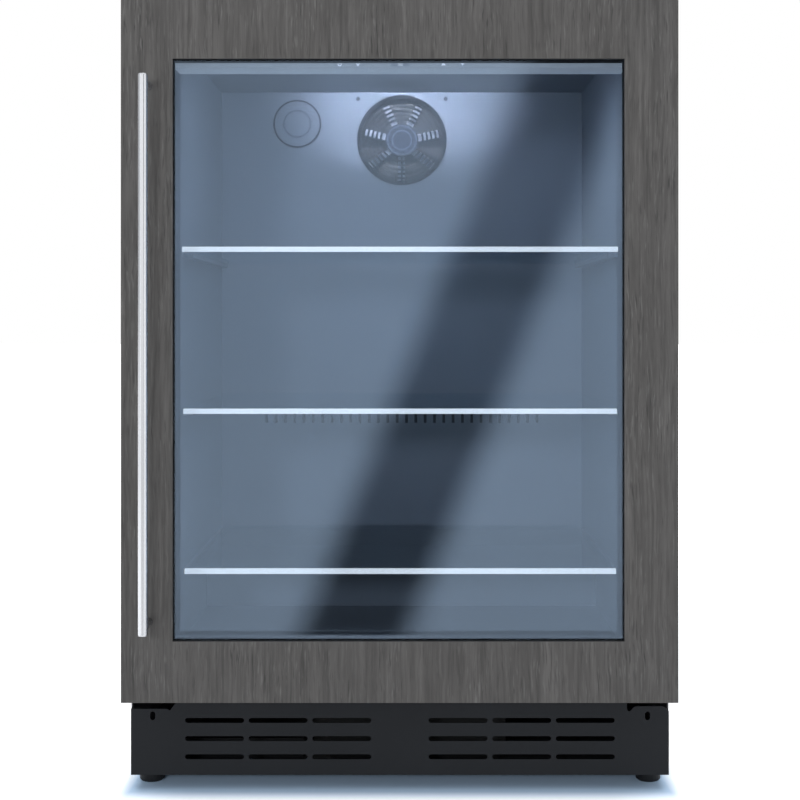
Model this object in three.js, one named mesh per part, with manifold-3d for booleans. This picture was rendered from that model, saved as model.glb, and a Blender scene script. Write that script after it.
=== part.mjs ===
// A built-in mini fridge with a glass door, 864 mm high. Millimetres, +Z up, the door faces -Y.
// Inside the fridge group y is the depth behind the front face of the door, and x = 0 is the middle.
import * as THREE from 'three';
import Module from 'manifold-3d';
import { mergeVertices } from 'three/addons/utils/BufferGeometryUtils.js';

const wasm = await Module();
wasm.setup();

// ---- driving dimensions ----
const gap = 0.3;
const halfWidth = 297.5;
const overlayBottom = 110;
const overlayTop = 864;
const overlayThickness = 19;
const openingLeft = -242.3;
const openingRight = 240;
const openingBottom = 175.5;
const openingTop = 797.5;
const handleReach = 42;
const handleRadius = 5;
const handleX = -267.5;
const handleBottom = 188.7;
const handleTop = 776;
const paneRecess = 6;
const paneThickness = 4;
const paneSpacing = 16;
const paneHalfWidth = 256.2;
const paneBottom = 158.3;
const paneTop = 812.7;
const sightMargin = 5.2;
const doorBack = 54;
const frameHalfWidth = 293.5;
const frameBottom = 113;
const frameTop = 848;
const cabinetFront = 62;
const cabinetRear = 582;
const cabinetTop = 862;
const baseHeight = 18;
const skin = 1.5;
const toeKickFront = 50;
const toeKickHalfWidth = 296;
const toeKickTop = 102;
const innerHalfWidth = 251.5;
const innerFloor = 149;
const innerCeiling = 836;
const innerBack = 531;
const linerWall = 2;
const stepFront = 340;
const stepTop = 227;
const bayCeiling = 187;
const bayFront = 382;
const mouthTop = 824;
const ductFront = 490;
const ductThickness = 3;
const shelves = {
  top: { z: 601, front: 85 },
  middle: { z: 418.2, front: 94 },
  bottom: { z: 235.8, front: 103 },
};
const shelfHeight = 5.6;
const shelfLip = 0.5;
const shelfGlassDrop = shelfLip + gap;
const shelfGlassThickness = 4;
const shelfBack = 474;
const hinge = { x: 278, depth: 30, pinRadius: 4, boreRadius: 4.4, bushRadius: 7 };
const fan = { x: 0, z: 769, openingRadius: 60 };
const footPlaces = {
  foot_front_left: [-280, 95],
  foot_front_right: [280, 95],
  foot_rear_left: [-280, 545],
  foot_rear_right: [280, 545],
};

// ---- materials ----
function material(colour, roughness, metalness, opacity = 1) {
  return new THREE.MeshStandardMaterial({
    color: colour, roughness, metalness, opacity, transparent: opacity < 1,
  });
}
const greyWood = material(0x585858, 0.6, 0);
const steel = material(0xc9cbcf, 0.3, 1);
const darkPaint = material(0x2b2d30, 0.5, 0.1);
const shellPaint = material(0x33363a, 0.45, 0.2);
const zinc = material(0x9a9da1, 0.4, 0.9);
const aluminium = material(0xb9bcc0, 0.35, 0.95);
const linerPlastic = material(0xa3adbd, 0.5, 0);
const palePlastic = material(0xcfdce8, 0.4, 0);
const blackPlastic = material(0x17181a, 0.5, 0);
const greyPlastic = material(0x6d7683, 0.5, 0);
const rubber = material(0x111214, 0.8, 0);
const foam = material(0xe6dcb4, 0.9, 0);
const glass = material(0x9fb2cc, 0.05, 0, 0.3);
const shelfGlass = material(0xbfd6dc, 0.05, 0, 0.3);

// ---- small geometry helpers, all in width, depth, height ----
function block(x0, x1, d0, d1, z0, z1) {
  const geometry = new THREE.BoxGeometry(x1 - x0, d1 - d0, z1 - z0);
  return geometry.translate((x0 + x1) / 2, (d0 + d1) / 2, (z0 + z1) / 2);
}

function outline(points) {
  return new THREE.Shape(points.map(([a, b]) => new THREE.Vector2(a, b)));
}

// An outline of (x, z) points or a shape, made solid from depth d0 to d1.
function plate(shape, d0, d1, curveSegments = 3) {
  const geometry = new THREE.ExtrudeGeometry(shape, {
    depth: d1 - d0, bevelEnabled: false, curveSegments,
  });
  return geometry.rotateX(Math.PI / 2).translate(0, d1, 0);
}

// An outline of (depth, z) points, made solid from x0 to x1.
function sideProfile(points, x0, x1) {
  const geometry = new THREE.ExtrudeGeometry(outline(points), { depth: x1 - x0, bevelEnabled: false });
  const turn = new THREE.Matrix4().makeBasis(
    new THREE.Vector3(0, 1, 0), new THREE.Vector3(0, 0, 1), new THREE.Vector3(1, 0, 0),
  );
  return geometry.applyMatrix4(turn).translate(x0, 0, 0);
}

// An outline of (x, depth) points or a shape, made solid from z0 to z1.
function planProfile(shape, z0, z1, curveSegments = 6) {
  const geometry = new THREE.ExtrudeGeometry(shape, {
    depth: z1 - z0, bevelEnabled: false, curveSegments,
  });
  return geometry.translate(0, 0, z0);
}

// A round bar that runs front to back.
function disc(radius, d0, d1, x, z, segments = 32) {
  return new THREE.CylinderGeometry(radius, radius, d1 - d0, segments).translate(x, (d0 + d1) / 2, z);
}

// A round bar that stands upright.
function rod(radius, z0, z1, x, depth, segments = 24) {
  const geometry = new THREE.CylinderGeometry(radius, radius, z1 - z0, segments);
  return geometry.rotateX(Math.PI / 2).translate(x, depth, (z0 + z1) / 2);
}

// A profile of (radius, height) points turned about a vertical axis.
function turned(points, x, depth, segments = 24) {
  const profile = points.map(([r, z]) => new THREE.Vector2(r, z));
  return new THREE.LatheGeometry(profile, segments).rotateX(Math.PI / 2).translate(x, depth, 0);
}

function slotShape(x, z, width, height) {
  const shape = new THREE.Shape();
  const r = Math.min(width, height) / 2;
  if (width > height) {
    shape.absarc(x + width / 2 - r, z, r, -Math.PI / 2, Math.PI / 2, false);
    shape.absarc(x - width / 2 + r, z, r, Math.PI / 2, Math.PI * 1.5, false);
  } else {
    shape.absarc(x, z + height / 2 - r, r, 0, Math.PI, false);
    shape.absarc(x, z - height / 2 + r, r, Math.PI, Math.PI * 2, false);
  }
  return shape;
}

// ---- boolean helpers ----
function toManifold(geometry) {
  const bare = geometry.clone();
  bare.deleteAttribute('normal');
  bare.deleteAttribute('uv');
  const merged = mergeVertices(bare, 1e-4);
  return new wasm.Manifold(new wasm.Mesh({
    numProp: 3,
    vertProperties: new Float32Array(merged.attributes.position.array),
    triVerts: new Uint32Array(merged.index.array),
  }));
}

function toGeometry(manifold) {
  const mesh = manifold.getMesh();
  const geometry = new THREE.BufferGeometry();
  geometry.setAttribute('position', new THREE.BufferAttribute(mesh.vertProperties, 3));
  geometry.setIndex(new THREE.BufferAttribute(mesh.triVerts, 1));
  const flat = geometry.toNonIndexed();
  flat.computeVertexNormals();
  return flat;
}

function carve(base, cuts) {
  let solid = toManifold(base);
  for (const cut of cuts) {
    solid = solid.subtract(toManifold(cut));
  }
  return toGeometry(solid);
}

function weld(first, ...others) {
  let solid = toManifold(first);
  for (const other of others) {
    solid = solid.add(toManifold(other));
  }
  return toGeometry(solid);
}

// ---- the scene graph ----
const miniFridge = new THREE.Group();
miniFridge.name = 'mini_fridge';
const fridge = new THREE.Group();
fridge.name = 'fridge';
fridge.position.y = -(cabinetRear - handleReach) / 2;
miniFridge.add(fridge);

function addGroup(name) {
  const group = new THREE.Group();
  group.name = name;
  fridge.add(group);
  return group;
}
const cabinet = addGroup('cabinet_group');
const coldSide = addGroup('cold_side_group');
const machineBay = addGroup('machine_bay_group');
const door = addGroup('door_group');

function add(group, name, geometry, look) {
  const mesh = new THREE.Mesh(geometry, look);
  mesh.name = name;
  group.add(mesh);
}

// ---- cabinet skin ----
const skinInside = halfWidth - skin;
const fill = skinInside - gap;
const panelRear = cabinetRear - skin;
add(cabinet, 'side_panel_left',
  block(-halfWidth, -skinInside, cabinetFront, cabinetRear, baseHeight, cabinetTop), shellPaint);
add(cabinet, 'side_panel_right',
  block(skinInside, halfWidth, cabinetFront, cabinetRear, baseHeight, cabinetTop), shellPaint);
add(cabinet, 'top_panel',
  block(-fill, fill, cabinetFront, cabinetRear, cabinetTop - skin, cabinetTop), shellPaint);
const underTop = cabinetTop - skin - gap;
add(cabinet, 'rear_cover',
  block(-fill, fill, panelRear, cabinetRear, bayCeiling + 3, underTop), zinc);

const inletSpan = { x0: -235, x1: -205, z0: 50, z1: 74 };
function machineCover() {
  const sheet = block(-fill, fill, panelRear, cabinetRear, baseHeight + skin + gap, bayCeiling + 2.7);
  const cuts = [];
  for (let column = 0; column < 4; column += 1) {
    for (let row = 0; row < 6; row += 1) {
      const x = -90 + column * 85;
      const z = 52 + row * 20;
      cuts.push(plate(slotShape(x, z, 66, 6), panelRear - 1, cabinetRear + 1, 2));
    }
  }
  const { x0, x1, z0, z1 } = inletSpan;
  cuts.push(block(x0, x1, panelRear - 1, cabinetRear + 1, z0, z1));
  return carve(sheet, cuts);
}
add(cabinet, 'machine_cover', machineCover(), zinc);

function basePan() {
  const floor = block(-fill, fill, cabinetFront + 2 + gap, panelRear - gap, baseHeight, baseHeight + skin);
  const flangeTop = baseHeight + 26;
  const front = cabinetFront + 2 + gap;
  const left = block(-fill, -fill + skin, front, panelRear - gap, baseHeight, flangeTop);
  const right = block(fill - skin, fill, front, panelRear - gap, baseHeight, flangeTop);
  const holes = Object.values(footPlaces).map(([x, d]) => rod(4.5, baseHeight - 2, baseHeight + 4, x, d, 16));
  return carve(weld(floor, left, right), holes);
}
add(cabinet, 'base_pan', basePan(), zinc);

const skinFront = cabinetFront + 2 + gap;
const sheetRear = panelRear - gap;
add(cabinet, 'stepped_bottom_panel', sideProfile([
  [skinFront, toeKickTop + 0.2], [bayFront + gap + skin, toeKickTop + 0.2],
  [bayFront + gap + skin, bayCeiling], [sheetRear, bayCeiling],
  [sheetRear, bayCeiling + skin], [bayFront + gap, bayCeiling + skin],
  [bayFront + gap, toeKickTop + 0.2 + skin], [skinFront, toeKickTop + 0.2 + skin],
], -fill, fill), zinc);

const frontFrameOuter = block(-fill, fill, cabinetFront, cabinetFront + 2, toeKickTop + 0.2, underTop);
add(cabinet, 'front_frame', carve(frontFrameOuter, [
  block(-innerHalfWidth, innerHalfWidth, cabinetFront - 5, cabinetFront + 5, innerFloor, mouthTop),
]), shellPaint);

// ---- insulation and liner ----
function cavityProfile(front, grow) {
  return [
    [front, innerFloor - grow], [stepFront + grow, innerFloor - grow], [stepFront + grow, stepTop - grow],
    [innerBack + grow, stepTop - grow], [innerBack + grow, innerCeiling + grow], [front, innerCeiling + grow],
  ];
}
const foamBlock = sideProfile([
  [skinFront, toeKickTop + 2], [bayFront, toeKickTop + 2], [bayFront, bayCeiling + skin + gap],
  [sheetRear, bayCeiling + skin + gap], [sheetRear, underTop], [skinFront, underTop],
], -fill, fill);
const foamHalf = innerHalfWidth + linerWall + gap;
add(cabinet, 'foam_insulation', carve(foamBlock, [
  sideProfile(cavityProfile(skinFront - 5, linerWall + gap), -foamHalf, foamHalf),
]), foam);

function innerLiner() {
  const outerHalf = innerHalfWidth + linerWall;
  const shell = carve(sideProfile(cavityProfile(skinFront, linerWall), -outerHalf, outerHalf), [
    sideProfile(cavityProfile(skinFront - 5, 0), -innerHalfWidth, innerHalfWidth),
  ]);
  const ledges = [];
  for (const { z } of Object.values(shelves)) {
    const z1 = z - shelfGlassDrop - shelfGlassThickness - gap;
    ledges.push(block(-innerHalfWidth - 1, -240, 135, 478, z1 - 5, z1));
    ledges.push(block(240, innerHalfWidth + 1, 135, 478, z1 - 5, z1));
  }
  return weld(shell, ...ledges);
}
add(cabinet, 'inner_liner', innerLiner(), linerPlastic);

// ---- toe kick with its vent slots and corner notches ----
function toeKick() {
  const shell = block(-toeKickHalfWidth, toeKickHalfWidth, toeKickFront, cabinetFront - gap,
    baseHeight, toeKickTop);
  const hollow = block(-toeKickHalfWidth + 2, toeKickHalfWidth - 2, toeKickFront + 2, 80,
    baseHeight + 2, 120);
  const cuts = [hollow];
  for (const groupX of [-134, 134]) {
    for (const slotX of [-70, 0, 70]) {
      for (const z of [78, 58, 38]) {
        cuts.push(plate(slotShape(groupX + slotX, z, 65, 5.5), toeKickFront - 2, toeKickFront + 4));
      }
    }
  }
  const leftNotch = outline([
    [-300, 90.6], [-256, 90.6], [-252.9, 88.8], [-247.4, 96.5], [-247.4, 110], [-300, 110],
  ]);
  const rightNotch = outline([
    [249.8, 110], [249.8, 91.5], [250.6, 88.8], [252.8, 87.8], [254.6, 89.4], [257, 92.3],
    [260.5, 93.5], [288.5, 93.5], [292, 92.3], [294.2, 89.4], [295.4, 88], [300, 88], [300, 110],
  ]);
  cuts.push(plate(leftNotch, toeKickFront - 5, cabinetFront + 5));
  cuts.push(plate(rightNotch, toeKickFront - 5, cabinetFront + 5));
  for (const x of [-272, 272.5]) {
    cuts.push(plate(slotShape(x, 83, 5.6, 9.6), toeKickFront - 2, toeKickFront + 4));
  }
  return carve(shell, cuts);
}
add(cabinet, 'toe_kick_grille', toeKick(), darkPaint);

// ---- levelling feet ----
for (const [name, [x, depth]] of Object.entries(footPlaces)) {
  add(cabinet, name, turned([
    [0, 0], [12, 0], [14, 2], [14, 11], [12.5, 13], [4, 13], [4, 46], [0, 46],
  ], x, depth, 24), blackPlastic);
}

// ---- hinge brackets with their pins ----
const bracketBack = cabinetFront - gap;
function bottomBracket() {
  const leaf = planProfile(outline([
    [252, bracketBack], [252, 26], [255, 22], [259.5, 20.5], [281, 20.5], [285, 22],
    [287.5, 26], [287.5, bracketBack],
  ]), 106, 109);
  const flange = block(252, 287.5, bracketBack - skin, bracketBack, 108, 121);
  return weld(leaf, flange, rod(hinge.pinRadius, 108, 124, hinge.x, hinge.depth));
}
function topBracket() {
  const leafShape = new THREE.Shape();
  leafShape.moveTo(252, bracketBack);
  leafShape.lineTo(252, 28);
  leafShape.lineTo(258, 20.5);
  leafShape.lineTo(hinge.x, 20.5);
  leafShape.absarc(hinge.x, hinge.depth, 9.5, -Math.PI / 2, Math.PI / 2, false);
  leafShape.lineTo(hinge.x, bracketBack);
  const leaf = planProfile(leafShape, 850, 853);
  const flange = block(252, hinge.x, bracketBack - skin, bracketBack, 852, 859.9);
  return weld(leaf, flange, rod(hinge.pinRadius, 835, 851, hinge.x, hinge.depth));
}
add(cabinet, 'hinge_bracket_bottom', bottomBracket(), darkPaint);
add(cabinet, 'hinge_bracket_top', topBracket(), darkPaint);

// ---- air duct panel, fan and evaporator ----
const ductBack = ductFront + ductThickness;
const cap = { x: -145.5, z: 791.5 };
function airDuctPanel() {
  const sheet = block(-innerHalfWidth + gap, innerHalfWidth - gap, ductFront, ductBack,
    stepTop + gap, innerCeiling - gap);
  const cuts = [disc(fan.openingRadius, ductFront - 2, ductBack + 2, fan.x, fan.z, 36)];
  for (let i = 0; i < 30; i += 1) {
    const x = -188.5 + i * 13;
    cuts.push(block(x - 2, x + 2, ductFront - 2, ductBack + 2, 375, 391));
  }
  cuts.push(disc(25.5, ductFront - 2, ductBack + 2, cap.x, cap.z, 32));
  cuts.push(disc(2.2, ductFront - 2, ductBack + 2, -61, 826.7, 12));
  cuts.push(disc(2.2, ductFront - 2, ductBack + 2, 61, 826.7, 12));
  return carve(sheet, cuts);
}
add(coldSide, 'air_duct_panel', airDuctPanel(), linerPlastic);

for (const [name, x] of [['duct_screw_left', -61], ['duct_screw_right', 61]]) {
  const head = disc(3, ductFront - 2, ductFront - gap, x, 826.7, 16);
  add(coldSide, name, weld(head, disc(1.8, ductFront - 1, ductBack + 6, x, 826.7, 12)), zinc);
}

const guardFront = ductFront - 3.5;
const guardBack = ductFront - gap;
function ring(outer, inner, d0, d1, x, z, segments) {
  return carve(disc(outer, d0, d1, x, z, segments), [disc(inner, d0 - 1, d1 + 1, x, z, segments)]);
}
function fanGuard() {
  const pieces = [ring(62.5, 57, guardFront, guardBack, fan.x, fan.z, 40)];
  for (const outer of [54.6, 48.6, 42.6, 36.6, 30.6]) {
    pieces.push(ring(outer, outer - 2.6, guardFront + 0.6, guardBack - 0.4, fan.x, fan.z, 40));
  }
  pieces.push(disc(23, guardFront, guardBack, fan.x, fan.z, 32));
  for (let i = 0; i < 6; i += 1) {
    const spoke = block(20, 59, guardFront + 1, guardBack - 0.8, -1.2, 1.2);
    pieces.push(spoke.rotateY(Math.PI / 6 + (i * Math.PI) / 3).translate(fan.x, 0, fan.z));
  }
  return weld(...pieces);
}
add(coldSide, 'fan_guard', fanGuard(), greyPlastic);

// A hub with pitched blades that turns about a front-to-back shaft, and a blind bore for the shaft.
function fanRotor({ x, z, d0, d1, hubRadius, tipRadius, count, chord, boreDepth }) {
  const pieces = [disc(hubRadius, d0, d1, x, z, 24)];
  for (let i = 0; i < count; i += 1) {
    const blade = block(hubRadius - 3, tipRadius, -0.7, 0.7, -chord / 2, chord / 2);
    blade.rotateX(Math.PI / 5.5).rotateY((i * Math.PI * 2) / count - 2);
    pieces.push(blade.translate(x, (d0 + d1) / 2, z));
  }
  return carve(weld(...pieces), [disc(2.4, d1 - boreDepth, d1 + 1, x, z, 12)]);
}
add(coldSide, 'evaporator_fan_blades', fanRotor({
  x: fan.x, z: fan.z, d0: 495, d1: 507, hubRadius: 20, tipRadius: 55, count: 7, chord: 11, boreDepth: 8,
}), palePlastic);
function evaporatorFanMotor() {
  const body = disc(19, 510, 528, fan.x, fan.z, 24);
  const shaft = disc(2, 500, 511, fan.x, fan.z, 12);
  const bar = block(-68, 68, 526, 528, fan.z - 6, fan.z + 6);
  const leftLeg = block(-68, -64, ductBack + gap, 527, fan.z - 6, fan.z + 6);
  const rightLeg = block(64, 68, ductBack + gap, 527, fan.z - 6, fan.z + 6);
  return weld(body, shaft, bar, leftLeg, rightLeg);
}
add(coldSide, 'evaporator_fan_motor', evaporatorFanMotor(), blackPlastic);

// The plan outline of a heat exchanger: upright fins on a common plate.
function finOutline(x0, x1, d0, d1, count) {
  const pitch = (x1 - x0 - 1.6) / (count - 1);
  const points = [[x0, d0], [x1, d0]];
  for (let i = count - 1; i >= 0; i -= 1) {
    const x = x0 + i * pitch;
    const last = i === count - 1;
    if (!last) {
      points.push([x + 1.6, d0 + 4]);
    }
    points.push([x + 1.6, d1], [x, d1]);
    if (i > 0) {
      points.push([x, d0 + 4]);
    }
  }
  return outline(points);
}
add(coldSide, 'evaporator_coil', planProfile(finOutline(-190, 190, 497, 527, 24), 260, 690), aluminium);

function filterCap() {
  const face = disc(33.5, ductFront - 4.3, ductFront - gap, cap.x, cap.z, 40);
  const boss = disc(25, ductFront - 1, ductBack + 4, cap.x, cap.z, 32);
  const dish = ring(31, 18, ductFront - 6, ductFront - 3.5, cap.x, cap.z, 36);
  return carve(weld(face, boss), [dish]);
}
add(coldSide, 'filter_cap', filterCap(), linerPlastic);

// ---- control strip under the ceiling ----
const stripFront = 66;
const stripBottom = 799;
const keyZ = 804.8;
const keyPlaces = { key_power: -67, key_light: -46.7, key_up: 48.3, key_down: 69.4 };
function controlHousing() {
  const strip = block(-innerHalfWidth + gap, innerHalfWidth - gap, stripFront, 110,
    stripBottom, innerCeiling - gap);
  const cuts = [block(-10.3, 10.3, stripFront - 1, stripFront + 2.3, 800.2, 809.8)];
  for (const x of Object.values(keyPlaces)) {
    cuts.push(block(x - 6.3, x + 6.3, stripFront - 1, stripFront + 8, keyZ - 4.6, keyZ + 4.6));
  }
  return carve(strip, cuts);
}
add(coldSide, 'control_housing', controlHousing(), palePlastic);
add(coldSide, 'display_lens', block(-10, 10, stripFront - 0.3, stripFront + 2, 800.5, 809.5), blackPlastic);
for (const [name, x] of Object.entries(keyPlaces)) {
  add(coldSide, name, block(x - 6, x + 6, stripFront - 0.8, stripFront + 6.4, keyZ - 4.3, keyZ + 4.3),
    palePlastic);
}
add(coldSide, 'light_diffuser', block(-110, 110, 114, 140, 831.5, innerCeiling - gap), palePlastic);

// ---- glass shelves with front trims ----
for (const [level, { z: top, front }] of Object.entries(shelves)) {
  const bottom = top - shelfHeight;
  const channelFloor = front + 1.6;
  const lipBack = front + 6;
  add(coldSide, `shelf_trim_${level}`, sideProfile([
    [front, bottom], [lipBack, bottom], [lipBack, bottom + shelfLip],
    [channelFloor, bottom + shelfLip], [channelFloor, top - shelfLip], [lipBack, top - shelfLip],
    [lipBack, top], [front, top],
  ], -245, 245), palePlastic);
  const glassTop = top - shelfGlassDrop;
  add(coldSide, `shelf_glass_${level}`, block(-244, 244, channelFloor + gap, shelfBack,
    glassTop - shelfGlassThickness, glassTop), shelfGlass);
}

// ---- machine bay ----
const bayFloor = baseHeight + skin + gap;
function compressorShell() {
  const can = turned([
    [0, bayFloor + 3], [66, bayFloor + 3], [72, bayFloor + 12], [73, bayFloor + 70],
    [72, bayFloor + 112], [60, bayFloor + 138], [34, bayFloor + 150], [0, bayFloor + 152],
  ], 130, 480, 28);
  const footPlate = block(40, 220, 425, 535, bayFloor, bayFloor + 4);
  const terminalBox = block(190, 216, 462, 498, bayFloor + 40, bayFloor + 85);
  return weld(can, footPlate, terminalBox);
}
add(machineBay, 'compressor', compressorShell(), blackPlastic);
add(machineBay, 'condenser_coil', planProfile(finOutline(-80, 120, 110, 158, 20), bayFloor, 97), aluminium);
const coolingFan = { x: 20, z: 60 };
add(machineBay, 'condenser_fan_blades', fanRotor({
  x: coolingFan.x, z: coolingFan.z, d0: 178, d1: 190, hubRadius: 13, tipRadius: 36, count: 5, chord: 15,
  boreDepth: 8,
}), blackPlastic);
add(machineBay, 'condenser_fan_motor', weld(
  disc(18, 194, 234, coolingFan.x, coolingFan.z, 24),
  disc(2, 184, 196, coolingFan.x, coolingFan.z, 12),
  block(6, 34, 200, 228, bayFloor, coolingFan.z - 10),
), blackPlastic);
add(machineBay, 'drip_tray', carve(block(-250, -110, 110, 360, bayFloor, bayFloor + 22), [
  block(-248, -112, 112, 358, bayFloor + 2, bayFloor + 30),
]), blackPlastic);

function powerInlet() {
  const { x0, x1, z0, z1 } = inletSpan;
  const body = block(x0 + gap, x1 - gap, 560, cabinetRear, z0 + gap, z1 - gap);
  const socket = carve(body, [block(x0 + 4, x1 - 4, 566, cabinetRear + 2, z0 + 4, z1 - 4)]);
  const middle = (x0 + x1) / 2;
  const height = (z0 + z1) / 2;
  return weld(socket,
    block(middle - 8, middle - 6, 565, 577, height - 4, height),
    block(middle + 6, middle + 8, 565, 577, height - 4, height),
    block(middle - 1, middle + 1, 565, 577, height + 1, height + 5));
}
add(machineBay, 'power_inlet', powerInlet(), blackPlastic);

// ---- door: four wood members over an insulated glass unit in a frame ----
// Each member is rebated at the back for the edge of the glass unit.
const rebateHalf = paneHalfWidth + gap;
const glassRebate = block(-rebateHalf, rebateHalf, paneRecess, overlayThickness + 5,
  paneBottom - gap, paneTop + gap);
function woodMember(x0, x1, z0, z1) {
  return carve(block(x0, x1, 0, overlayThickness, z0, z1), [glassRebate]);
}
add(door, 'panel_stile_left', woodMember(-halfWidth, openingLeft, overlayBottom, overlayTop), greyWood);
add(door, 'panel_stile_right', woodMember(openingRight, halfWidth, overlayBottom, overlayTop), greyWood);
const railLeft = openingLeft + gap;
const railRight = openingRight - gap;
add(door, 'panel_rail_top', woodMember(railLeft, railRight, openingTop, overlayTop), greyWood);
add(door, 'panel_rail_bottom', woodMember(railLeft, railRight, overlayBottom, openingBottom), greyWood);

function pane(front) {
  return block(-paneHalfWidth, paneHalfWidth, front, front + paneThickness, paneBottom, paneTop);
}
const outerPaneFront = paneRecess + gap;
const innerPaneFront = outerPaneFront + paneThickness + paneSpacing + gap;
const sightHalf = paneHalfWidth - sightMargin;
function doorInnerFrame() {
  const front = overlayThickness + gap;
  const body = block(-frameHalfWidth, frameHalfWidth, front, doorBack, frameBottom, frameTop);
  return carve(body, [
    block(-sightHalf, sightHalf, front - 5, doorBack + 5, paneBottom + sightMargin, paneTop - sightMargin),
    block(-rebateHalf, rebateHalf, front - 5, innerPaneFront + paneThickness + gap,
      paneBottom - gap, paneTop + gap),
    rod(hinge.bushRadius + gap, 831.7, 860, hinge.x, hinge.depth),
    rod(hinge.bushRadius + gap, 100, 129.3, hinge.x, hinge.depth),
  ]);
}
add(door, 'door_inner_frame', doorInnerFrame(), blackPlastic);
add(door, 'glass_outer_pane', pane(outerPaneFront), glass);
add(door, 'glass_inner_pane', pane(innerPaneFront), glass);
const spacerHalf = paneHalfWidth - 2;
add(door, 'glass_spacer', carve(
  block(-spacerHalf, spacerHalf, outerPaneFront + paneThickness + gap, innerPaneFront - gap,
    paneBottom + 2, paneTop - 2),
  [block(-sightHalf, sightHalf, 0, 50, paneBottom + sightMargin, paneTop - sightMargin)],
), aluminium);
add(door, 'door_gasket', carve(block(-278, 278, doorBack + gap, cabinetFront - gap, 127, 845), [
  block(-262, 262, doorBack - 5, cabinetFront + 5, 143, 829),
]), rubber);

add(door, 'hinge_bush_top', carve(weld(
  rod(hinge.bushRadius, 832, 848.6, hinge.x, hinge.depth),
  rod(9, frameTop + gap, 849.6, hinge.x, hinge.depth),
), [rod(hinge.boreRadius, 833.6, 855, hinge.x, hinge.depth)]), palePlastic);
add(door, 'hinge_bush_bottom', carve(weld(
  rod(hinge.bushRadius, 112, 129, hinge.x, hinge.depth),
  rod(9, 109.5, frameBottom - gap, hinge.x, hinge.depth),
), [rod(hinge.boreRadius, 105, 125.4, hinge.x, hinge.depth)]), palePlastic);

// ---- handle ----
const barDepth = -handleReach + handleRadius;
add(door, 'handle_bar', turned([
  [0, handleBottom], [3.6, handleBottom], [4.7, handleBottom + 0.6], [5, handleBottom + 1.8],
  [5, handleTop - 1.8], [4.7, handleTop - 0.6], [3.6, handleTop], [0, handleTop],
], handleX, barDepth, 24), steel);
for (const [name, z] of [['handle_post_bottom', handleBottom + 8], ['handle_post_top', handleTop - 8]]) {
  add(door, name, carve(disc(4.5, barDepth, -gap, handleX, z, 24), [
    rod(handleRadius + gap, z - 20, z + 20, handleX, barDepth),
  ]), steel);
}

export default miniFridge;
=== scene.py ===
"""Looks of the built-in mini fridge. Metres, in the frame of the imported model; the door faces -Y."""
import math

import bmesh
import bpy
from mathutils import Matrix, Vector


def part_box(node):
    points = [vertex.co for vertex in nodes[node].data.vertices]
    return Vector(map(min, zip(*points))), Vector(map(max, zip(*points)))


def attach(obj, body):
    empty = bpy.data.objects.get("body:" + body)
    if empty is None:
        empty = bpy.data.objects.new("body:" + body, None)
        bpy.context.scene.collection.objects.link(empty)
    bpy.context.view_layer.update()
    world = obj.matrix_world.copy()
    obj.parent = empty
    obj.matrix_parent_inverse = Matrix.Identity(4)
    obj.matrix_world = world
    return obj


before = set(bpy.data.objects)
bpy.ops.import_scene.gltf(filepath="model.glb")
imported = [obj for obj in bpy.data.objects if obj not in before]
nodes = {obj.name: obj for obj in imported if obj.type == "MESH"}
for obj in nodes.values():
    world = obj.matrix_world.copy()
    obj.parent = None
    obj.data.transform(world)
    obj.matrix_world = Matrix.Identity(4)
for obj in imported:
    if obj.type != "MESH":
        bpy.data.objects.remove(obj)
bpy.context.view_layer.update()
scene = bpy.context.scene

# ---------------------------------------------------------------- places taken from the frame
door_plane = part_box("panel_stile_left")[0][1]
opening_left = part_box("panel_stile_left")[1][0]
opening_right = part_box("panel_stile_right")[0][0]
opening_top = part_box("panel_rail_top")[0][2]
opening_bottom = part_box("panel_rail_bottom")[1][2]
duct_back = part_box("air_duct_panel")[1][1]
grip_lo, grip_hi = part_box("handle_bar")
fan_lo, fan_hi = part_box("fan_guard")
diffuser_lo, diffuser_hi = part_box("light_diffuser")

SIDES = ("left", "right")
SHELVES = ("top", "middle", "bottom")
KEYS = [f"key_{use}" for use in ("power", "light", "up", "down")]
FEET = [f"foot_{end}_{side}" for end in ("front", "rear") for side in SIDES]
WOOD = [f"panel_stile_{side}" for side in SIDES] + ["panel_rail_top", "panel_rail_bottom"]
POSTS = ["handle_post_bottom", "handle_post_top"]
BUSHES = ["hinge_bush_top", "hinge_bush_bottom"]
BRACKETS = ["hinge_bracket_top", "hinge_bracket_bottom"]
SCREWS = [f"duct_screw_{side}" for side in SIDES]


# ---------------------------------------------------------------- camera
CAMERA_DISTANCE = 1.6  # from the face of the door
CAMERA_SIDE = 0.010
CAMERA_HEIGHT = 0.5186
VIEW_WIDTH = 0.8536  # metres of the door plane across the picture
SENSOR = 36

cam = bpy.data.cameras.new("camera")
cam.sensor_width = SENSOR
cam.lens = SENSOR * CAMERA_DISTANCE / VIEW_WIDTH
cam.shift_x = -0.01125
cam.shift_y = -0.1
cam.clip_start = 0.05
camera = bpy.data.objects.new("camera", cam)
camera.location = (CAMERA_SIDE, door_plane - CAMERA_DISTANCE, CAMERA_HEIGHT)
camera.rotation_euler = (math.radians(90), 0, 0)
scene.collection.objects.link(camera)
scene.camera = camera
scene.view_settings.view_transform = "Standard"


# ---------------------------------------------------------------- colours
def srgb(r, g, b):
    """Display colour 0-255 to a linear RGBA tuple."""
    def lin(c):
        c = c / 255
        return c / 12.92 if c <= 0.04045 else ((c + 0.055) / 1.055) ** 2.4
    return (lin(r), lin(g), lin(b), 1.0)


def scaled(colour, factor):
    """The colour made darker or lighter by a factor."""
    return tuple(min(1, c * factor) for c in colour[:3]) + (1,)


def grey(v):
    """A slightly warm grey of the given linear value."""
    return (v, v * 0.99, v * 0.985, 1)


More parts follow.
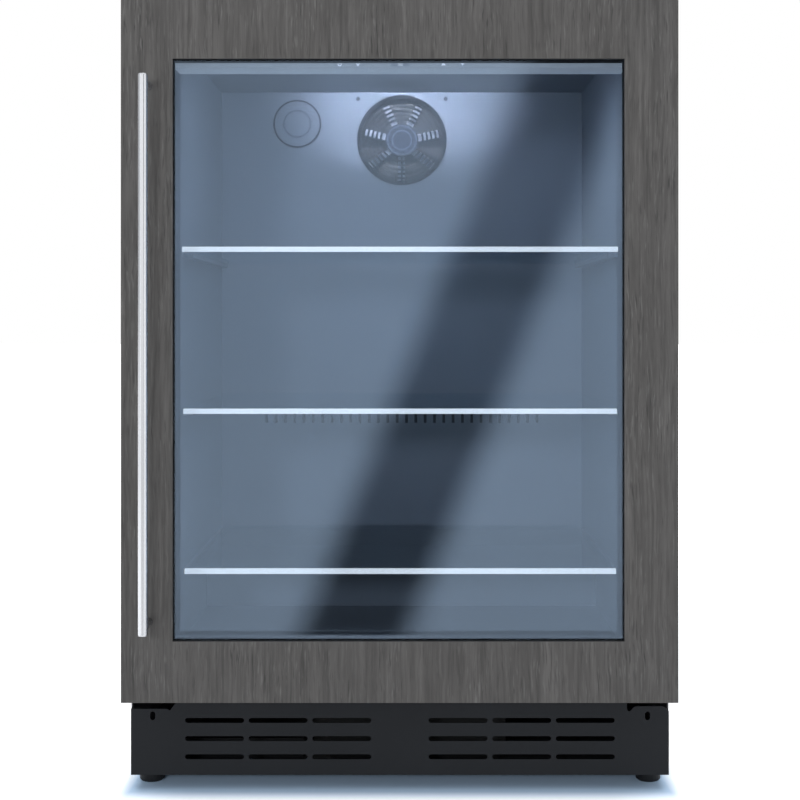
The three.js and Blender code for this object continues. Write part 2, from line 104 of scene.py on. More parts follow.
# ---------------------------------------------------------------- node helpers
class Shader:
    """A small builder for one procedural material."""

    def __init__(self, name):
        self.mat = bpy.data.materials.new(name)
        self.mat.use_nodes = True
        self.tree = self.mat.node_tree
        self.tree.nodes.clear()
        self.out = self.node("ShaderNodeOutputMaterial")
        self.coord = self.node("ShaderNodeTexCoord").outputs["Object"]

    def node(self, kind, **props):
        n = self.tree.nodes.new(kind)
        for key, value in props.items():
            setattr(n, key, value)
        return n

    def link(self, a, b):
        self.tree.links.new(a, b)

    def put(self, socket, value):
        if isinstance(value, bpy.types.NodeSocket):
            self.link(value, socket)
        else:
            socket.default_value = value

    def axes(self):
        """The X, Y and Z outputs of the place on the object."""
        split = self.node("ShaderNodeSeparateXYZ")
        self.link(self.coord, split.inputs[0])
        return split.outputs

    def mapped(self, scale, offset=(0, 0, 0)):
        m = self.node("ShaderNodeMapping")
        m.inputs["Scale"].default_value = scale
        m.inputs["Location"].default_value = offset
        self.link(self.coord, m.inputs["Vector"])
        return m.outputs["Vector"]

    def noise(self, scale, detail=4.0, rough=0.55, offset=(0, 0, 0)):
        """Noise with its own scale along each axis, or one scale for all three."""
        if not isinstance(scale, tuple):
            scale = (scale,) * 3
        n = self.node("ShaderNodeTexNoise")
        self.link(self.mapped(scale, offset), n.inputs["Vector"])
        n.inputs["Scale"].default_value = 1.0
        n.inputs["Detail"].default_value = detail
        n.inputs["Roughness"].default_value = rough
        return n.outputs["Fac"]

    def ramp(self, fac, stops):
        r = self.node("ShaderNodeValToRGB")
        elements = r.color_ramp.elements
        while len(elements) < len(stops):
            elements.new(0.5)
        for element, (place, colour) in zip(elements, stops):
            element.position = place
            element.color = colour
        self.link(fac, r.inputs["Fac"])
        return r.outputs["Color"]

    def math(self, operation, a, b=0.0, clamp=False):
        m = self.node("ShaderNodeMath", operation=operation, use_clamp=clamp)
        self.put(m.inputs[0], a)
        self.put(m.inputs[1], b)
        return m.outputs[0]

    def span(self, fac, low, high, from_low=0.0, from_high=1.0, curve="LINEAR"):
        """From low to high while fac goes from from_low to from_high."""
        m = self.node("ShaderNodeMapRange", interpolation_type=curve)
        self.link(fac, m.inputs["Value"])
        m.inputs["From Min"].default_value = from_low
        m.inputs["From Max"].default_value = from_high
        m.inputs["To Min"].default_value = low
        m.inputs["To Max"].default_value = high
        return m.outputs["Result"]

    def away(self, value, middle):
        """Distance of a value from its middle."""
        return self.math("ABSOLUTE", self.math("SUBTRACT", value, middle))

    def length(self, a, b):
        """Length of the vector with these two parts."""
        squares = [self.math("MULTIPLY", part, part) for part in (a, b)]
        return self.math("SQRT", self.math("ADD", *squares))

    def mix(self, fac, a, b, mode="MIX"):
        m = self.node("ShaderNodeMix", data_type="RGBA", blend_type=mode)
        self.put(m.inputs[0], fac)
        self.put(m.inputs[6], a)
        self.put(m.inputs[7], b)
        return m.outputs[2]

    def bump(self, height, strength, distance=0.0004):
        b = self.node("ShaderNodeBump")
        b.inputs["Strength"].default_value = strength
        b.inputs["Distance"].default_value = distance
        self.link(height, b.inputs["Height"])
        return b.outputs["Normal"]

    def principled(self, colour, roughness, metallic=0.0, normal=None, specular=0.5):
        p = self.node("ShaderNodeBsdfPrincipled")
        self.put(p.inputs["Base Color"], colour)
        self.put(p.inputs["Roughness"], roughness)
        p.inputs["Metallic"].default_value = metallic
        p.inputs["Specular IOR Level"].default_value = specular
        if normal is not None:
            self.link(normal, p.inputs["Normal"])
        self.link(p.outputs[0], self.out.inputs["Surface"])
        return p


def distance_from_axis(s, node):
    """Distance from the front-to-back axis of a round node, and the node's radius."""
    place = s.axes()
    lo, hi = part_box(node)
    across = s.math("SUBTRACT", place["X"], (lo[0] + hi[0]) / 2)
    up = s.math("SUBTRACT", place["Z"], (lo[2] + hi[2]) / 2)
    return s.length(across, up), (hi[0] - lo[0]) / 2


def thin_ring(s, radius, at, half_width):
    """1 on a circle of that radius, falling to 0 half_width away."""
    return s.math("SUBTRACT", 1.0, s.math("MULTIPLY", s.away(radius, at), 1 / half_width), clamp=True)


# ---------------------------------------------------------------- kinds of material
def moulded(name, colour, roughness, grain, strength, spread, specular):
    """Plastic or paint with a fine texture, slight tone drift and uneven gloss."""
    s = Shader(name)
    fine = s.noise(grain, detail=3)
    broad = s.noise(9, detail=3)
    tone = s.ramp(broad, [(0.3, scaled(colour, 1 - spread)), (0.7, scaled(colour, 1 + spread))])
    gloss = s.span(fine, roughness - 0.05, roughness + 0.06)
    s.principled(tone, gloss, normal=s.bump(fine, strength), specular=specular)
    return s.mat


def bend_grain(s):
    """Shifts the place sideways by slow and quick noise, so that upright fibres wander."""
    wander = s.math("SUBTRACT", s.noise((14, 14, 6), detail=2), 0.5)
    swirl = s.math("SUBTRACT", s.noise((70, 70, 30), detail=2), 0.5)
    sideways = s.math("ADD", s.math("MULTIPLY", wander, 0.012), s.math("MULTIPLY", swirl, 0.0028))
    bend = s.node("ShaderNodeCombineXYZ")
    s.link(sideways, bend.inputs["X"])
    bent = s.node("ShaderNodeVectorMath", operation="ADD")
    s.link(s.coord, bent.inputs[0])
    s.link(bend.outputs[0], bent.inputs[1])
    s.coord = bent.outputs[0]


def glass_edge_shade(s, place):
    """1 on the edges round the glass, deeper than the face and inside the stiles, where painted shade
    makes them near-black.
    """
    middle = (opening_top + opening_bottom) / 2
    half_height = (opening_top - opening_bottom) / 2
    depth = s.span(place["Y"], 0.0, 1.0, door_plane + 0.0003, door_plane + 0.0008)
    inside_x = s.math("LESS_THAN", s.math("ABSOLUTE", place["X"]), opening_right + 0.003)
    inside_z = s.math("LESS_THAN", s.away(place["Z"], middle), half_height + 0.0015)
    return s.math("MULTIPLY", depth, s.math("MULTIPLY", inside_x, inside_z))


def wood(name):
    """Dark grey veneer: upright fibres, slow bands, short dark pores and pale flecks in patches."""
    s = Shader(name)
    place = s.axes()
    bend_grain(s)
    bands = s.noise((62, 62, 1.5), detail=4, rough=0.6)
    grain = s.noise((300, 300, 11), detail=3, rough=0.55)
    patches = s.span(s.noise((26, 26, 11), detail=3), 0.35, 1.0, 0.40, 0.60)
    blotch = s.noise((70, 70, 16), detail=3, rough=0.6)
    pores = s.noise((500, 500, 34), detail=2, rough=0.5)
    flecks = s.noise((520, 520, 42), detail=2, rough=0.6, offset=(3.1, 1.7, 2.3))

    base = s.ramp(bands, [(0.32, grey(0.0340)), (0.5, grey(0.0408)), (0.68, grey(0.0475))])
    fibre = s.ramp(grain, [(0.30, grey(0.72)), (0.5, grey(0.99)), (0.72, grey(1.26))])
    patchy = s.ramp(blotch, [(0.32, grey(0.90)), (0.68, grey(1.09))])
    colour = s.mix(1.0, s.mix(1.0, base, fibre, "MULTIPLY"), patchy, "MULTIPLY")
    pore_mask = s.math("MULTIPLY", s.span(pores, 0.0, 0.75, 0.57, 0.68), patches)
    colour = s.mix(pore_mask, colour, grey(0.015))
    fleck_mask = s.math("MULTIPLY", s.span(flecks, 0.0, 0.40, 0.57, 0.72), patches)
    colour = s.mix(fleck_mask, colour, grey(0.100))
    # Painted shade: the edges round the glass turn near-black, standing in for the shade inside the
    # opening.
    colour = s.mix(glass_edge_shade(s, place), colour, grey(0.006))
    height = s.math("SUBTRACT", grain, pore_mask)
    s.principled(colour, s.span(grain, 0.52, 0.68), normal=s.bump(height, 0.18), specular=0.20)
    return s.mat


def brushed(name, colour, roughness, axis_scale, strength, rise=None):
    """Metal with fine lines along the axis whose scale is small.

    rise = (z0, z1, factor0, factor1) makes the tone change evenly with height, as painted light.
    """
    s = Shader(name)
    lines = s.noise(axis_scale, detail=4, rough=0.7)
    tone = s.ramp(lines, [(0.2, scaled(colour, 0.93)), (0.8, colour)])
    if rise:
        z0, z1, factor0, factor1 = rise
        tone = s.mix(1.0, tone, s.span(s.axes()["Z"], factor0, factor1, z0, z1), "MULTIPLY")
    gloss = s.span(lines, roughness - 0.05, roughness + 0.08)
    s.principled(tone, gloss, metallic=1.0, normal=s.bump(lines, strength, 0.0002))
    return s.mat


def clear_pane(name, through, reflect):
    """A see-through pane: tinted straight-through light under an angle-dependent gloss."""
    s = Shader(name)
    haze = s.noise((5, 5, 3), detail=2)
    clear = s.node("ShaderNodeBsdfTransparent")
    s.link(s.ramp(haze, [(0.3, scaled(through, 0.985)), (0.7, through)]), clear.inputs["Color"])
    shine = s.node("ShaderNodeBsdfGlossy")
    shine.inputs["Color"].default_value = reflect
    shine.inputs["Roughness"].default_value = 0.02
    facing = s.node("ShaderNodeLayerWeight").outputs["Facing"]
    grazing = s.math("MULTIPLY", s.math("POWER", facing, 5.0), 0.9)
    blend = s.node("ShaderNodeMixShader")
    s.link(s.math("ADD", grazing, 0.05, clamp=True), blend.inputs[0])
    s.link(clear.outputs[0], blend.inputs[1])
    s.link(shine.outputs[0], blend.inputs[2])
    s.link(blend.outputs[0], s.out.inputs["Surface"])
    return s.mat


def glowing(name, colour, strength):
    """Pale plastic that gives off a little light of its own colour. On the trims, strip, keys and display
    lens, which are no lamps, this is painted light.
    """
    s = Shader(name)
    p = s.principled(s.ramp(s.noise(300, detail=2), [(0.3, scaled(colour, 0.9)), (0.7, colour)]), 0.5)
    p.inputs["Emission Color"].default_value = colour
    p.inputs["Emission Strength"].default_value = strength
    return s.mat


def liner_look(name, colour):
    """Moulded liner, pale in the compartment, with painted shade behind the rear panel: black in the unlit
    duct.
    """
    s = Shader(name)
    place = s.axes()
    fine = s.noise(500, detail=3)
    tone = s.ramp(s.noise(9, detail=3), [(0.3, scaled(colour, 0.97)), (0.7, colour)])
    # Painted shade: the liner is made black in the duct behind the rear panel, where no light reaches.
    duct_shade = s.span(place["Y"], 0.0, 1.0, duct_back, duct_back + 0.002)
    tone = s.mix(duct_shade, tone, srgb(14, 16, 20))
    s.principled(tone, s.span(fine, 0.34, 0.44), normal=s.bump(fine, 0.03), specular=0.45)
    return s.mat


def filter_cap_look(name, colour):
    """Wall-coloured disc with a painted shadow on its rim and painted shade on the step of a shallow inner
    circle.
    """
    s = Shader(name)
    radius, outer = distance_from_axis(s, "filter_cap")
    fine = s.noise(800, detail=3)
    tone = s.ramp(fine, [(0.3, scaled(colour, 0.96)), (0.7, colour)])
    # Painted shade: dark at the rim and along the step of the inner circle.
    tone = s.mix(s.span(radius, 0.0, 1.0, outer - 0.0030, outer - 0.0020), tone, srgb(16, 19, 26))
    inner = s.math("MULTIPLY", thin_ring(s, radius, outer * 0.55, 0.0018), 0.8)
    tone = s.mix(inner, tone, srgb(60, 68, 84))
    s.principled(tone, s.span(fine, 0.42, 0.5), normal=s.bump(fine, 0.03), specular=0.25)
    return s.mat


def fan_guard_look(name):
    """Black guard whose hub carries two paler moulded rings."""
    s = Shader(name)
    radius, outer = distance_from_axis(s, "fan_guard")
    fine = s.noise(500, detail=3)
    tone = s.ramp(fine, [(0.3, srgb(16, 19, 26)), (0.7, srgb(20, 23, 30))])
    tone = s.mix(s.span(radius, 1.0, 0.0, outer * 0.34, outer * 0.36), tone, srgb(44, 50, 62))
    for at in (0.32, 0.21):
        tone = s.mix(thin_ring(s, radius, outer * at, 0.0014), tone, srgb(104, 116, 138))
    s.principled(tone, s.span(fine, 0.5, 0.6), normal=s.bump(fine, 0.03), specular=0.08)
    return s.mat


# ---------------------------------------------------------------- materials
# moulded: colour, roughness, grain, bump, spread of tone, specular
duct_mat = moulded("duct_plastic", srgb(130, 140, 156), 0.46, 500, 0.03, 0.03, 0.25)
blade_mat = moulded("blade_plastic", srgb(164, 172, 187), 0.45, 900, 0.05, 0.04, 0.3)
toe_mat = moulded("toe_powder_coat", srgb(22, 24, 27), 0.52, 1400, 0.18, 0.07, 0.10)
black_mat = moulded("black_plastic", srgb(18, 19, 21), 0.45, 1100, 0.16, 0.10, 0.2)
coil_mat = moulded("coil_black_lacquer", srgb(16, 17, 18), 0.5, 600, 0.16, 0.10, 0.2)
shell_mat = moulded("shell_powder_coat", srgb(44, 46, 50), 0.42, 1300, 0.20, 0.05, 0.35)
frame_mat = moulded("door_frame_plastic", srgb(26, 28, 32), 0.42, 1000, 0.12, 0.05, 0.3)
rubber_mat = moulded("gasket_rubber", srgb(30, 31, 34), 0.62, 600, 0.10, 0.08, 0.3)
foam_mat = moulded("foam", srgb(228, 214, 170), 0.85, 260, 0.5, 0.08, 0.2)
# Painted shade: the base pan is given a near-black colour so that the plinth's slots look dark inside.
pan_shade_mat = moulded("base_pan_painted_shade", srgb(30, 31, 33), 0.5, 700, 0.2, 0.08, 0.2)
rim_mat = moulded("rim_print", srgb(9, 10, 13), 0.5, 600, 0.02, 0.05, 0.1)

# brushed: colour, roughness, fineness along each axis, bump
zinc_mat = brushed("zinc_sheet", srgb(150, 153, 158), 0.42, (60, 60, 420), 0.05)
fin_mat = brushed("aluminium_fins", srgb(64, 68, 76), 0.40, (500, 500, 20), 0.06)
spacer_mat = brushed("aluminium_spacer", srgb(176, 184, 196), 0.36, (300, 300, 300), 0.04)
screw_mat = brushed("screw_steel", srgb(40, 43, 50), 0.40, (900, 900, 900), 0.05)
grip_height = grip_hi[2] - grip_lo[2]
# Painted light: the handle's tone grows from darker low down to lighter high up, standing in for the
# reflections along it.
grip_painted_light = (grip_lo[2] + 0.30 * grip_height, grip_lo[2] + 0.95 * grip_height, 0.84, 1.40)
steel_mat = brushed("handle_steel", srgb(184, 186, 190), 0.22, (1600, 1600, 9), 0.05, grip_painted_light)

# glowing: colour, strength
# Painted light: the shelf trims, control strip, keys and display lens glow in place of the cabin lamp's
# light on them.
trim_painted_light_mat = glowing("trim_painted_light", srgb(232, 238, 244), 0.95)
strip_painted_light_mat = glowing("strip_painted_light", srgb(190, 202, 216), 0.35)
key_painted_light_mat = glowing("key_painted_light", srgb(184, 196, 212), 0.35)
display_painted_light_mat = glowing("display_lens", srgb(166, 178, 195), 0.30)
light_mat = glowing("light_diffuser", (0.78, 0.88, 1.0, 1), 3.0)
mark_mat = glowing("printed_marks", srgb(236, 242, 250), 1.3)

door_glass = clear_pane("door_glass", (0.875, 0.890, 0.905, 1), (0.60, 0.775, 1.0, 1))
shelf_glass = clear_pane("shelf_glass", (0.90, 0.945, 0.955, 1), (0.9, 0.96, 1.0, 1))
liner_mat = liner_look("liner_plastic", srgb(120, 130, 145))
guard_mat = fan_guard_look("guard_plastic")
cap_mat = filter_cap_look("cap_plastic", srgb(124, 134, 150))
veneer = wood("grey_veneer")

LOOKS = {
    liner_mat: ["inner_liner"],
    duct_mat: ["air_duct_panel"],
    strip_painted_light_mat: ["control_housing"],
    trim_painted_light_mat: [f"shelf_trim_{shelf}" for shelf in SHELVES],
    guard_mat: ["fan_guard"],
    blade_mat: ["evaporator_fan_blades"] + BUSHES,
    key_painted_light_mat: KEYS,
    cap_mat: ["filter_cap"],
    toe_mat: ["toe_kick_grille"] + BRACKETS,
    black_mat: FEET + ["evaporator_fan_motor", "condenser_fan_blades", "condenser_fan_motor",
                       "compressor", "drip_tray", "power_inlet"],
    shell_mat: ["side_panel_left", "side_panel_right", "top_panel", "front_frame"],
    frame_mat: ["door_inner_frame"],
    rubber_mat: ["door_gasket"],
    foam_mat: ["foam_insulation"],
    zinc_mat: ["rear_cover", "machine_cover", "stepped_bottom_panel"],
    pan_shade_mat: ["base_pan"],
    fin_mat: ["evaporator_coil"],
    coil_mat: ["condenser_coil"],
    spacer_mat: ["glass_spacer"],
    steel_mat: ["handle_bar"] + POSTS,
    screw_mat: SCREWS,
    door_glass: ["glass_outer_pane", "glass_inner_pane"],
    shelf_glass: [f"shelf_glass_{shelf}" for shelf in SHELVES],
    display_painted_light_mat: ["display_lens"],
    light_mat: ["light_diffuser"],
    veneer: WOOD,
}
for look, names in LOOKS.items():
    for name in names:
        materials = nodes[name].data.materials
        materials.clear()
        materials.append(look)


# ---------------------------------------------------------------- shapes for the small pieces
def piece(name, shape, look, body):
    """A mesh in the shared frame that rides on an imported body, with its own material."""
    verts, faces = shape
    mesh = bpy.data.meshes.new(name)
    mesh.from_pydata(verts, [], faces)
    mesh.materials.append(look)
    obj = bpy.data.objects.new(name, mesh)
    scene.collection.objects.link(obj)
    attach(obj, body)


def prism(outline, front, back):
    """Vertices and faces of a flat shape given as (x, z) points, from depth front to depth back."""
    n = len(outline)
    verts = [(x, front, z) for x, z in outline] + [(x, back, z) for x, z in outline]
    faces = [tuple(range(n)), tuple(range(2 * n - 1, n - 1, -1))]
    faces += [(i, i + n, (i + 1) % n + n, (i + 1) % n) for i in range(n)]
    return verts, faces


def joined(shapes):
    """Several shapes as the vertices and faces of one mesh."""
    verts, faces = [], []
    for v, f in shapes:
        faces += [tuple(i + len(verts) for i in face) for face in f]
        verts += v
    return verts, faces


def bar(x0, x1, z0, z1, front, back):
    return prism([(x0, z0), (x1, z0), (x1, z1), (x0, z1)], front, back)


def arc(x, z, outer, inner, start, end, front, back, steps=14):
    """A flat ring or part of one, as one strip."""
    angles = [math.radians(start + (end - start) * i / steps) for i in range(steps + 1)]
    rim = [(x + outer * math.cos(a), z + outer * math.sin(a)) for a in angles]
    rim += [(x + inner * math.cos(a), z + inner * math.sin(a)) for a in reversed(angles)]
    return prism(rim, front, back)


# ---------------------------------------------------------------- glue lines
# The wood members are glued: a thin line of filler in the veneer's own colour closes each butt joint.
GLUE_FRONT = 0.00004  # behind the face of the door
GLUE_BACK = 0.005
GLUE_END_GAP = 0.0002

for rail in ("top", "bottom"):
    for side in SIDES:
        stile_lo, stile_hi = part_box(f"panel_stile_{side}")
        rail_lo, rail_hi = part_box(f"panel_rail_{rail}")
        x0, x1 = (stile_hi[0], rail_lo[0]) if side == "left" else (rail_hi[0], stile_lo[0])
        glue = bar(x0, x1, rail_lo[2] + GLUE_END_GAP, rail_hi[2] - GLUE_END_GAP,
                   door_plane + GLUE_FRONT, door_plane + GLUE_BACK)
        piece(f"glue_line_{rail}_{side}", glue, veneer, "door")


# ---------------------------------------------------------------- printed rim of the glass
RIM = 0.0012  # seen past the wood at the sides and the bottom
TOP_RIM = 0.0031
PANE_EDGE = 0.0025  # left clear of print at the edge of the pane


def rim_shape():
    """Four bars printed on the back of the outer pane, behind the inner edges of the wood."""
    lo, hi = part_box("glass_outer_pane")
    depth = (hi[1] + 0.00005, hi[1] + 0.00015)
    x0, x1 = lo[0] + PANE_EDGE, hi[0] - PANE_EDGE
    z0, z1 = lo[2] + PANE_EDGE, hi[2] - PANE_EDGE
    inner_x0, inner_x1 = opening_left + RIM, opening_right - RIM
    return joined([bar(x0, inner_x0, z0, z1, *depth),
                   bar(inner_x1, x1, z0, z1, *depth),
                   bar(inner_x0, inner_x1, z0, opening_bottom + RIM, *depth),
                   bar(inner_x0, inner_x1, opening_top - TOP_RIM, z1, *depth)])


piece("glass_printed_rim", rim_shape(), rim_mat, "door")


# ---------------------------------------------------------------- marks and figures
# Marks on the keys and figures on the display are thin raised prints.
PRINT_HEIGHT = 0.00015
PRINT_GAP = 0.00001  # between a print and what it lies on
INK = 0.0008  # width of a printed line
MARK_RISE = 0.0023  # of a mark's middle above the lower edge of its key


def power_mark(x, z, *depth):
    """An open ring with an upright bar in the gap."""
    return [arc(x, z, 0.0023, 0.0023 - INK, 125, 415, *depth),
            bar(x - INK / 2, x + INK / 2, z + 0.0005, z + 0.0026, *depth)]


def lamp_mark(x, z, *depth):
    """A round bulb over a short foot."""
    return [arc(x, z + 0.0006, 0.0018, 0.0018 - INK, 0, 360, *depth, steps=20),
            bar(x - 0.001, x + 0.001, z - 0.0022, z - 0.0015, *depth)]


def up_mark(x, z, *depth):
    return [prism([(x - 0.0024, z - 0.0014), (x + 0.0024, z - 0.0014), (x, z + 0.0020)], *depth)]


def down_mark(x, z, *depth):
    return [prism([(x - 0.0024, z + 0.0018), (x, z - 0.0016), (x + 0.0024, z + 0.0018)], *depth)]


for key, mark in zip(KEYS, (power_mark, lamp_mark, up_mark, down_mark)):
    lo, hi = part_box(key)
    shape = mark((lo[0] + hi[0]) / 2, lo[2] + MARK_RISE, lo[1] - PRINT_HEIGHT, lo[1] - PRINT_GAP)
    piece(f"mark_{key}", joined(shape), mark_mat, key)

LIT = {"3": "abcdg", "8": "abcdefg"}


def figure(sign, x, z, width, height, *depth):
    """A seven-segment figure centred on (x, z)."""
    t = width * 0.2
    x0, x1 = x - width / 2, x + width / 2
    z0, z1 = z - height / 2, z + height / 2
    spans = {"a": (x0 + t, x1 - t, z1 - t, z1), "b": (x1 - t, x1, z + t / 2, z1 - t / 2),
             "c": (x1 - t, x1, z0 + t / 2, z - t / 2), "d": (x0 + t, x1 - t, z0, z0 + t),
             "e": (x0, x0 + t, z0 + t / 2, z - t / 2), "f": (x0, x0 + t, z + t / 2, z1 - t / 2),
             "g": (x0 + t, x1 - t, z - t / 2, z + t / 2)}
    return [bar(*spans[segment], *depth) for segment in LIT[sign]]


FIGURE_HEIGHT = 0.0042
FIGURE_RISE = 0.0026  # of the figures' middle above the lower edge of the lens


def display_shape():
    """Two figures side by side in the middle of the lens."""
    lo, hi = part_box("display_lens")
    x, z = (lo[0] + hi[0]) / 2, lo[2] + FIGURE_RISE
    depth = (lo[1] - PRINT_HEIGHT, lo[1] - PRINT_GAP)
    shapes = []
    for i, sign in enumerate("38"):
        beside = (i - 0.5) * FIGURE_HEIGHT * 0.75
        shapes += figure(sign, x + beside, z, FIGURE_HEIGHT * 0.5, FIGURE_HEIGHT, *depth)
    return joined(shapes)


piece("display_figures", display_shape(), mark_mat, "cabinet")


# ---------------------------------------------------------------- edges
BEVEL_ANGLE = 40
SMOOTH_ANGLE = 35


def bevel(names, width, segments=2):
    """Rounds the sharp edges of nodes."""
    for name in names:
        m = nodes[name].modifiers.new("edge", "BEVEL")
        m.width = width
        m.segments = segments
        m.limit_method = "ANGLE"
        m.angle_limit = math.radians(BEVEL_ANGLE)
        m.harden_normals = False


def smooth(names):
    """Smooth shading on round nodes, with the sharp edges kept."""
    limit = math.cos(math.radians(SMOOTH_ANGLE))
    for name in names:
        mesh = nodes[name].data
        mesh.shade_smooth()
        bm = bmesh.new()
        bm.from_mesh(mesh)
        for edge in bm.edges:
            if len(edge.link_faces) == 2:
                a, b = (f.normal for f in edge.link_faces)
                edge.smooth = a.dot(b) > limit
        bm.to_mesh(mesh)
        bm.free()


bevel(WOOD, 0.00015)
bevel([f"shelf_trim_{shelf}" for shelf in SHELVES], 0.0004)
bevel([f"shelf_glass_{shelf}" for shelf in SHELVES], 0.0005, 1)
bevel(["control_housing"] + KEYS, 0.0005)
bevel(["toe_kick_grille", "light_diffuser"] + BRACKETS, 0.0004)
smooth(["handle_bar"] + POSTS + FEET + BUSHES + SCREWS)
smooth(["compressor", "filter_cap", "fan_guard", "air_duct_panel", "evaporator_fan_motor",
        "condenser_fan_motor"])


# ---------------------------------------------------------------- floor
FLOOR_SIZE = 60
FLOOR_SHADE = (0.46, 0.62, 0.82, 1)  # in the shadow under the plinth


def away_from_plinth(s):
    """Distance on the floor from the plinth, which counts more to the sides than to the front."""
    place = s.axes()
    plinth_lo, plinth_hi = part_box("toe_kick_grille")
    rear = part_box("rear_cover")[1][1]
    out_x = s.math("SUBTRACT", s.math("ABSOLUTE", place["X"]), plinth_hi[0])
    out_y = s.math("SUBTRACT", s.away(place["Y"], (plinth_lo[1] + rear) / 2), (rear - plinth_lo[1]) / 2)
    out_x = s.math("MULTIPLY", s.math("MAXIMUM", out_x, 0.0), 2.5)
    return s.length(out_x, s.math("MAXIMUM", out_y, 0.0))


def floor_look(name):
    """Pale floor with a painted shadow under the plinth: bluish shade there and a glow that grows away
    from it, to meet the white backdrop without a horizon.
    """
    s = Shader(name)
    speck = s.noise(3, detail=2)
    away = away_from_plinth(s)
    # Painted light: the glow rises outward from the plinth and shapes the edge of the shadow under it.
    shadow_edge_glow = s.span(away, 0.0, 0.40, 0.002, 0.035)
    far_lift = s.span(away, 0.0, 0.90, 0.6, 2.6)
    pale = s.ramp(speck, [(0.3, (0.86, 0.87, 0.885, 1)), (0.7, (0.87, 0.88, 0.895, 1))])
    tone = s.mix(s.span(away, 0.0, 1.0, 0.0, 0.05), FLOOR_SHADE, pale)
    p = s.principled(tone, 0.75, specular=0.1)
    p.inputs["Emission Color"].default_value = (1, 1, 1, 1)
    s.link(s.math("ADD", shadow_edge_glow, far_lift), p.inputs["Emission Strength"])
    return s.mat


bpy.ops.mesh.primitive_plane_add(size=FLOOR_SIZE, location=(0, 0, 0))
floor = bpy.context.object
floor.name = "floor"
floor.data.materials.append(floor_look("floor"))


# ---------------------------------------------------------------- softbox
# A softbox in front of the door, seen only in reflections, with one dark slanting bar across it.
CARD_DISTANCE = 0.85
CARD_HALF_WIDTH = 0.95
CARD_BOTTOM, CARD_TOP = -0.05, 1.45
BAR_X, BAR_Z = 0.245, 0.82  # a point on the middle line of the dark bar
BAR_ACROSS = (0.93, -0.37)  # direction across the bar, in x and z
BAR_CORE, BAR_FADE = 0.045, 0.125  # from the middle line
BAR_LIGHT, CARD_LIGHT = 0.10, 1.62


def softbox_look(name):
    """Glow that is strong low down, weaker higher up and nearly out along the bar."""
    s = Shader(name)
    place = s.axes()
    bar_x = s.math("MULTIPLY", s.math("SUBTRACT", place["X"], BAR_X), BAR_ACROSS[0])
    bar_z = s.math("MULTIPLY", s.math("SUBTRACT", place["Z"], BAR_Z), BAR_ACROSS[1])
    off_bar = s.math("ABSOLUTE", s.math("ADD", bar_x, bar_z))
    light = s.span(off_bar, BAR_LIGHT, CARD_LIGHT, BAR_CORE, BAR_FADE, "SMOOTHSTEP")
    fall = s.span(place["Z"], 1.0, 0.70, 0.20, 0.90)
    glow = s.node("ShaderNodeEmission")
    s.link(s.math("MULTIPLY", light, fall), glow.inputs["Strength"])
    s.link(glow.outputs[0], s.out.inputs["Surface"])
    return s.mat


card_y = door_plane - CARD_DISTANCE
card_corners = [(-CARD_HALF_WIDTH, card_y, CARD_BOTTOM), (CARD_HALF_WIDTH, card_y, CARD_BOTTOM),
                (CARD_HALF_WIDTH, card_y, CARD_TOP), (-CARD_HALF_WIDTH, card_y, CARD_TOP)]
card_mesh = bpy.data.meshes.new("softbox")
card_mesh.from_pydata(card_corners, [], [(0, 1, 2, 3)])
card_mesh.materials.append(softbox_look("softbox"))
card = bpy.data.objects.new("softbox", card_mesh)
scene.collection.objects.link(card)
card.visible_camera = False
card.visible_diffuse = False
card.visible_transmission = False
card.visible_shadow = False


# ---------------------------------------------------------------- world
def backdrop(tree, colour, strength):
    node = tree.nodes.new("ShaderNodeBackground")
    node.inputs["Color"].default_value = colour
    node.inputs["Strength"].default_value = strength
    return node.outputs[0]


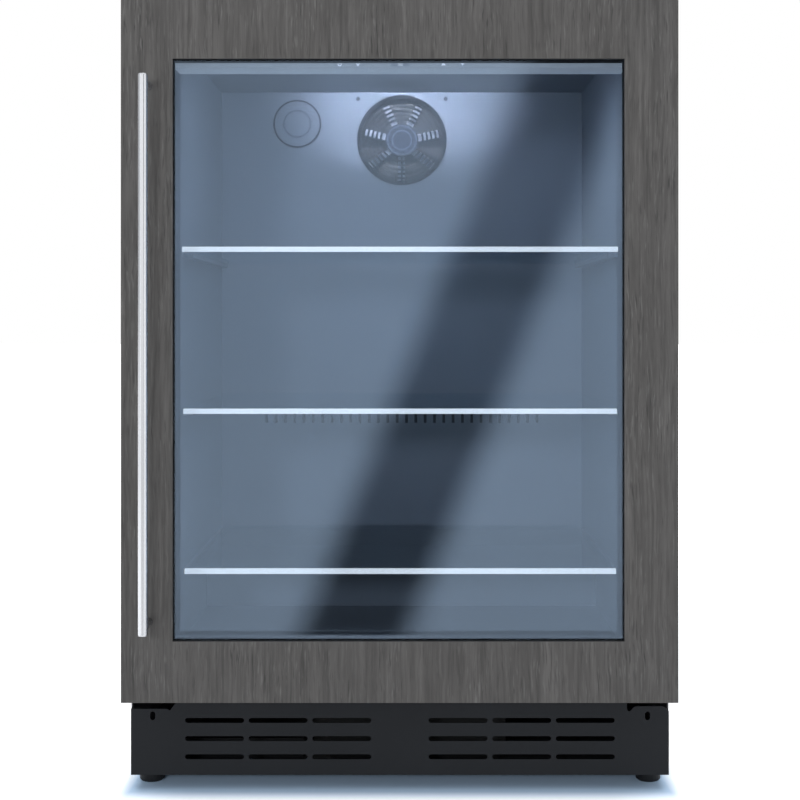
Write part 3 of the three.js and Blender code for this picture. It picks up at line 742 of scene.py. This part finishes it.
# The world is white where the camera sees it, and lights the scene more softly.
world = bpy.data.worlds.new("world")
scene.world = world
world.use_nodes = True
sky = world.node_tree
sky.nodes.clear()
sky_out = sky.nodes.new("ShaderNodeOutputWorld")
sky_path = sky.nodes.new("ShaderNodeLightPath")
sky_mix = sky.nodes.new("ShaderNodeMixShader")
sky.links.new(sky_path.outputs["Is Camera Ray"], sky_mix.inputs[0])
sky.links.new(backdrop(sky, (0.97, 0.985, 1.0, 1), 0.55), sky_mix.inputs[1])
sky.links.new(backdrop(sky, (1, 1, 1, 1), 1.0), sky_mix.inputs[2])
sky.links.new(sky_mix.outputs[0], sky_out.inputs["Surface"])


# ---------------------------------------------------------------- lights
def lamp(name, kind, location, target, power, colour=(1, 1, 1)):
    """A lamp of the given kind that points at a target, and its light."""
    light = bpy.data.lights.new(name, kind)
    light.energy = power
    light.color = colour
    obj = bpy.data.objects.new(name, light)
    obj.location = location
    obj.rotation_euler = (Vector(target) - Vector(location)).to_track_quat("-Z", "Y").to_euler()
    scene.collection.objects.link(obj)
    return obj, light


def area(name, location, target, size, power, colour=(1, 1, 1)):
    """A rectangular lamp that the camera doesn't see."""
    obj, light = lamp(name, "AREA", location, target, power, colour)
    light.shape = "RECTANGLE"
    light.size, light.size_y = size
    obj.visible_camera = False
    return obj


area("key_left", (-3.0, -2.6, 1.6), (0, 0, 0.45), (2.6, 3.0), 14)
area("key_right", (3.0, -2.6, 1.6), (0, 0, 0.45), (2.6, 3.0), 26)
area("top_soft", (0, -0.6, 3.4), (0, -0.1, 0), (4.4, 3.4), 150)
front_spot = area("front_spot", (-0.73, door_plane - 3.0, 0.95), (-0.1, door_plane, 0.5), (0.28, 0.28), 46)
front_spot.visible_glossy = False

# The lamp in the ceiling of the compartment, and the pool of light that it makes on the wall by the fan.
led_y = (diffuser_lo[1] + diffuser_hi[1]) / 2
led_z = diffuser_lo[2]
area("cabin_light", (0, led_y, led_z - 0.003), (0, led_y + 0.20, led_z - 0.35),
     (0.21, 0.02), 0.8, (0.80, 0.90, 1.0))
fan_top = ((fan_lo[0] + fan_hi[0]) / 2, fan_lo[1], fan_hi[2] - 0.004)
pool_lamp, pool_light = lamp("cabin_glow", "SPOT", (0, led_y, led_z - 0.004), fan_top, 21.0,
                             (0.84, 0.88, 1.0))
pool_light.spot_size = math.radians(40)
pool_light.spot_blend = 1.0
pool_light.shadow_soft_size = 0.02
pool_lamp.scale = (1.5, 0.85, 1.0)
